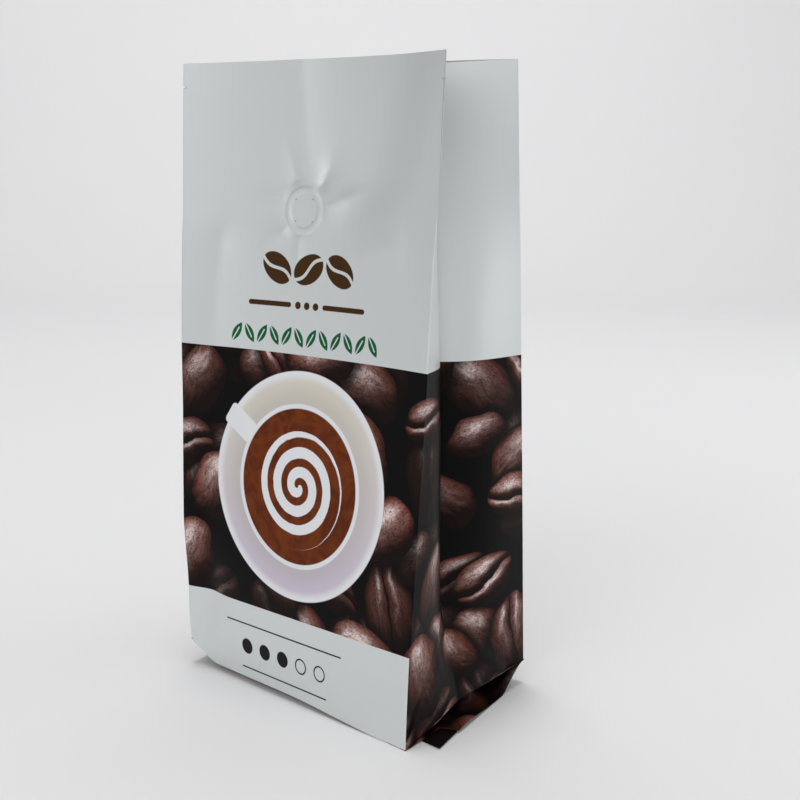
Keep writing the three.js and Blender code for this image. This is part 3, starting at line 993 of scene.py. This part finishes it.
class COFFEEBAG_OT_base(bpy.types.Operator):
    """Make the folded base: the flaps on the ground and the gusset ends that are tucked in above them"""

    bl_idname = "coffeebag.base"
    bl_label = "Base"

    def execute(self, context):
        size = context.scene.coffee_bag.sizes
        printed = material_named("printed_film")
        dressed(self.flaps(size), "film", printed)
        for hand, name in ((1, "right_tuck"), (-1, "left_tuck")):
            dressed(self.tuck(size, hand, name), "film", printed)
        return {"FINISHED"}

    @staticmethod
    def flaps(size):
        """One sheet from the front edge along the ground and up to the back edge."""
        sheet, right_flare, seal_rise, curl = 0.0004, 0.0075, 0.0006, 0.0012
        across = np.linspace(-1, 1, 81)
        deep = graded([0.0, (0.22, 0.03), (0.36, 0.006), (1.0, 0.025)])
        front = front_panel(size, across, front_foot(size, across) / size.height)
        back = back_panel(size, across, np.full_like(across, size.back_lift / size.height))
        points = mix(front[None], back[None], deep[:, None, None])
        y = points[..., 1]
        flare = right_flare * smoothstep(y, -0.0235, -0.0205) * np.clip((0.028 - y) / 0.048, 0, 1)
        points[..., 0] += flare * np.maximum(across, 0) ** 6
        rise = size.back_lift * smoothstep(y, size.rest_end, back[None, :, 1])
        rise = rise + front_foot(size, across) * (1 - smoothstep(y - front[None, :, 1], 0, 0.022))
        over_seal = seal_rise * smoothstep(y, -0.046, -0.040) * (1 - smoothstep(y, 0.0, 0.02))
        edge_curl = curl * np.exp(-(((y + 0.012) / 0.012) ** 2)) * smoothstep(across, 0.80, 1.0)
        points[..., 2] = rise + over_seal + edge_curl
        ahead, below = (1 + across) * size.panel / 2, -0.002 - deep[:, None] * size.side
        uvs = np.stack(np.broadcast_arrays(ahead, below), -1)
        return thick_sheet("base_flaps", points, (0, 0, sheet), uvs)

    @staticmethod
    def tuck(size, hand, name):
        """A gusset's lower end, folded in from its foot towards the bottom seal."""
        sheet, above_flaps, inset = 0.0003, 0.0004, 0.045
        along = np.linspace(0, 1, 41)
        inwards = np.linspace(0, 0.94, 13)
        around = size.panel + along * size.side if hand > 0 else -along * size.side
        foot = film_point(size, around, np.zeros_like(around))
        meet = np.array([hand * (size.right_edge - inset), -0.006, 0.0005])
        points = mix(foot[:, None], meet, inwards[None, :, None])
        points[..., 2] = np.maximum(points[..., 2], above_flaps)
        uvs = np.stack(np.broadcast_arrays(around[:, None], -inset * inwards[None, :]), -1)
        if hand > 0:
            points, uvs = points[:, ::-1], uvs[:, ::-1]
        return thick_sheet(name, points, (0, 0, sheet), uvs)


class COFFEEBAG_OT_seals(bpy.types.Operator):
    """Make the bottom seal and the lengthwise back seam, with the ribs that the sealing jaws press in"""

    bl_idname = "coffeebag.seals"
    bl_label = "Seals"

    def execute(self, context):
        size = context.scene.coffee_bag.sizes
        dark = material_named("dark_seal_film")
        printed = material_named("printed_film")
        dressed(self.bottom_seal(), "film", dark)
        dressed(self.back_seam(size), "film", printed)
        dressed(self.seam_ribs(size, printed), "film")
        return {"FINISHED"}

    @staticmethod
    def bottom_seal():
        """The sealed fin, folded flat under the base, with its cut end past the right side."""
        sheet, rib, ribs, end_rise = 0.0003, 0.00003, 9, 0.0005
        along = np.linspace(0, 1, 60)
        across = np.linspace(0, 1, 37)
        front_edge = mix(np.array([-0.050, -0.012, 0]), np.array([0.0791, -0.0377, 0]), along[:, None])
        back_edge = mix(np.array([-0.050, 0.004, 0]), np.array([0.0760, -0.0205, 0]), along[:, None])
        points = mix(front_edge[None], back_edge[None], across[:, None, None])
        pressed = rib * (1 + np.cos(2 * math.pi * ribs * across))
        points[..., 2] = pressed[:, None] + end_rise * smoothstep(along, 0.92, 1.0)
        uvs = np.stack(np.broadcast_arrays(along * 0.13, across[:, None] * 0.016), -1)
        return thick_sheet("bottom_seal", points, (0, 0, sheet), uvs)

    @staticmethod
    def back_seam(size):
        """The overlap of the film's two edges, folded flat on the back panel."""
        offset = np.linspace(0.010, -0.002, 9)
        up = np.linspace(size.back_lift / size.height, 1, 100)
        across, level = np.broadcast_arrays(offset[None, :] / size.right_edge, up[:, None])
        points = back_panel(size, across, level)
        around = size.panel + size.side + size.panel / 2 - offset[None, :] * size.panel / 2 / size.right_edge
        uvs = np.stack(np.broadcast_arrays(around, level * size.height), -1)
        return thick_sheet("back_seam", points, (0, SEAM_RISE, 0), uvs)

    @staticmethod
    def seam_ribs(size, material):
        """Fine level ribs along the back seam, spaced along its path by Geometry Nodes."""
        up = np.linspace(size.back_lift / size.height + 0.006, 0.994, 120)
        path = back_panel(size, np.full_like(up, 0.004 / size.right_edge), up) + (0, SEAM_RISE, 0)
        mesh = bpy.data.meshes.new("seam_ribs")
        mesh.from_pydata([tuple(p) for p in path], [(i, i + 1) for i in range(len(path) - 1)], [])
        piece = linked_object("seam_ribs", mesh)

        nodes = Pattern("seam_ribs")
        nodes.given("Pitch", "NodeSocketFloat", 0.0030)
        nodes.given("Rib", "NodeSocketVector", (0.0100, 0.00024, 0.0011))
        entry = nodes.node("NodeGroupInput")
        curve = nodes.node("GeometryNodeMeshToCurve", {"Mesh": entry.outputs["Geometry"]})
        spaced = nodes.node("GeometryNodeResampleCurve",
                            {"Curve": curve.outputs[0], "Length": entry.outputs["Pitch"]}, mode="LENGTH")
        rib = nodes.node("GeometryNodeMeshCube", {"Size": entry.outputs["Rib"]})
        ribs = nodes.node("GeometryNodeInstanceOnPoints",
                          {"Points": spaced.outputs[0], "Instance": rib.outputs["Mesh"]})
        nodes.finish(ribs.outputs[0], material)
        nodes.applied_to(piece)
        layer = piece.data.uv_layers.get(FILM_MAP) or piece.data.uv_layers.new(name=FILM_MAP)
        co = np.array([piece.data.vertices[loop.vertex_index].co for loop in piece.data.loops])
        uvs = np.stack([size.panel * 1.5 + size.side - co[:, 0], co[:, 2]], -1)
        layer.uv.foreach_set("vector", uvs.astype(np.float32).ravel())
        return piece


class COFFEEBAG_OT_valve(bpy.types.Operator):
    """Finish the valve behind the film, and make the pinholes in the film over it"""

    bl_idname = "coffeebag.valve"
    bl_label = "Valve"

    def execute(self, context):
        bag = context.scene.coffee_bag
        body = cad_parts["valve"]
        body.data.materials.clear()
        body.data.materials.append(material_named("valve_plastic"))
        dressed(self.pinholes(bag), "film")
        return {"FINISHED"}

    @staticmethod
    def pinholes(bag):
        """Four pinholes in a square, set out by Geometry Nodes and laid on the film."""
        size, valve = bag.sizes, bag.valve
        piece = linked_object("pinholes", bpy.data.meshes.new("pinholes"))
        nodes = Pattern("pinholes")
        nodes.given("Pitch", "NodeSocketFloat", valve.hole_pitch)
        nodes.given("Radius", "NodeSocketFloat", valve.hole)
        entry = nodes.node("NodeGroupInput")
        pitch, radius = entry.outputs["Pitch"], entry.outputs["Radius"]
        corners = nodes.node("GeometryNodeMeshGrid",
                             {"Vertices X": 2, "Vertices Y": 2, "Size X": pitch, "Size Y": pitch})
        hole = nodes.node("GeometryNodeMeshCylinder", {"Vertices": 14, "Radius": radius, "Depth": 0.00012})
        holes = nodes.node("GeometryNodeInstanceOnPoints",
                           {"Points": corners.outputs["Mesh"], "Instance": hole.outputs["Mesh"]})
        nodes.finish(holes.outputs[0], material_named("pinhole_shadow"))
        nodes.applied_to(piece)
        piece.data.transform(valve_frame(size, valve, valve.ring_rise * 0.15))
        return piece


class COFFEEBAG_OT_stage(bpy.types.Operator):
    """Make the pale sweep, the soft lights and the camera"""

    bl_idname = "coffeebag.stage"
    bl_label = "Stage"

    # The camera's place in metres, its turn in degrees, and its focal length in widths of the square picture
    camera_place = (0.35536, -0.43431, 0.23586)
    camera_yaw, camera_pitch, camera_roll = 36.855, 10.731, 0.342
    camera_focal = 1278.98 / 800

    def execute(self, context):
        self.floor()
        self.world(context)
        self.lights()
        self.camera(context)
        return {"FINISHED"}

    @staticmethod
    def floor():
        """A sheet that runs back along the ground and curves up behind."""
        front, depth, radius, half, top = -3.0, 1.5, 0.7, 3.0, 2.4
        profile = [(front, 0.0), (depth, 0.0)]
        for angle in np.linspace(0, math.pi / 2, 17)[1:]:
            profile.append((depth + radius * math.sin(angle), radius * (1 - math.cos(angle))))
        profile.append((depth + radius, top))
        points = [(x, y, z) for y, z in profile for x in (-half, half)]
        faces = [(2 * i, 2 * i + 1, 2 * i + 3, 2 * i + 2) for i in range(len(profile) - 1)]
        sweep = mesh_object("studio_sweep", points, faces)
        yaw = math.radians(COFFEEBAG_OT_stage.camera_yaw)
        sweep.data.transform(Matrix.Rotation(yaw, 4, "Z"))
        sweep.data.materials.append(material_named("pale_paper"))

    @staticmethod
    def world(context):
        """A pale room, lighter to the right and front, and darker overhead."""
        world = bpy.data.worlds.new("studio")
        context.scene.world = world
        world.use_nodes = True
        shade = Shade(world.node_tree)
        facing = shade.node("ShaderNodeTexCoord").outputs["Generated"]
        low, overhead, lighter_side = 0.63, 0.22, (0.32, -0.44, 0.0)
        above = shade.step(shade.parts(facing)[2], 0.0, 0.55)
        side = shade.vector("DOT_PRODUCT", facing, lighter_side)
        glow = shade.mul(shade.blend(above, low, overhead, "FLOAT"), shade.add(side, 1.0))
        sky = world.node_tree.nodes["Background"]
        shade.put(shade.join(glow, glow, glow), sky.inputs["Color"])
        context.scene.view_settings.view_transform = "Standard"

    @staticmethod
    def lights():
        """Large soft boxes: name, place, aim, side and power."""
        boxes = (
            ("front_box", (0.25, -1.8, 1.3), (0, 0, 0.10), 1.6, 12.0),
            ("right_back_box", (1.5, 0.9, 0.6), (0, 0, 0.15), 1.1, 2.5),
            ("back_right_box", (0.8, 1.3, 0.6), (0, 0, 0.12), 0.9, 3.2),
            ("over_box", (-0.1, 0.02, 2.6), (-0.05, -0.1, 0), 0.6, 26.0),
            ("wall_box", (-1.0, 1.2, 2.2), (-1.3, 2.0, 0.2), 2.0, 11.0),
        )
        for name, place, aim, side, power in boxes:
            light = bpy.data.lights.new(name, "AREA")
            light.shape = "SQUARE"
            light.size = side
            light.energy = power
            lamp = linked_object(name, light)
            lamp.location = place
            lamp.rotation_euler = (Vector(aim) - Vector(place)).to_track_quat("-Z", "Y").to_euler()

    def camera(self, context):
        """The camera that the photo was taken with, as fitted to the bag's edges."""
        data = bpy.data.cameras.new("camera")
        data.sensor_width = 36.0
        data.lens = data.sensor_width * self.camera_focal
        data.clip_start = 0.01
        data.clip_end = 50.0
        eye = linked_object("camera", data)
        yaw, pitch = math.radians(self.camera_yaw), math.radians(self.camera_pitch)
        ahead = Vector((-math.sin(yaw) * math.cos(pitch), math.cos(yaw) * math.cos(pitch), -math.sin(pitch)))
        level = Vector((math.cos(yaw), math.sin(yaw), 0))
        above = level.cross(ahead)
        turn = Matrix((level, above, -ahead)).transposed().to_4x4()
        roll = Matrix.Rotation(math.radians(self.camera_roll), 4, "Z")
        eye.matrix_world = Matrix.Translation(self.camera_place) @ turn @ roll
        context.scene.camera = eye


# Panel, registration and run

class CoffeeBag(bpy.types.PropertyGroup):
    """All settings of the bag."""

    sizes: PointerProperty(type=BagSizes)
    valve: PointerProperty(type=ValveSizes)
    print_sizes: PointerProperty(type=PrintSizes)
    colours: PointerProperty(type=PrintColours)


class COFFEEBAG_PT_panel(bpy.types.Panel):
    """The bag's pieces and settings"""

    bl_label = "Coffee bag"
    bl_space_type = "VIEW_3D"
    bl_region_type = "UI"
    bl_category = "Coffee bag"

    def draw(self, context):
        layout = self.layout
        for operator in OPERATORS:
            layout.operator(operator.bl_idname)
        bag = context.scene.coffee_bag
        for group in (bag.sizes, bag.valve, bag.print_sizes, bag.colours):
            box = layout.box()
            for name in group.__annotations__:
                box.prop(group, name)


OPERATORS = (COFFEEBAG_OT_film, COFFEEBAG_OT_base, COFFEEBAG_OT_seals, COFFEEBAG_OT_valve, COFFEEBAG_OT_stage)
GROUPS = (BagSizes, ValveSizes, PrintSizes, PrintColours, CoffeeBag)
CLASSES = (*GROUPS, *OPERATORS, COFFEEBAG_PT_panel)


def register():
    for item in CLASSES:
        bpy.utils.register_class(item)
    bpy.types.Scene.coffee_bag = PointerProperty(type=CoffeeBag)


def unregister():
    del bpy.types.Scene.coffee_bag
    for item in reversed(CLASSES):
        bpy.utils.unregister_class(item)


def main():
    register()
    bpy.ops.coffeebag.film()
    bpy.ops.coffeebag.base()
    bpy.ops.coffeebag.seals()
    bpy.ops.coffeebag.valve()
    bpy.ops.coffeebag.stage()


if __name__ == "__main__":
    main()
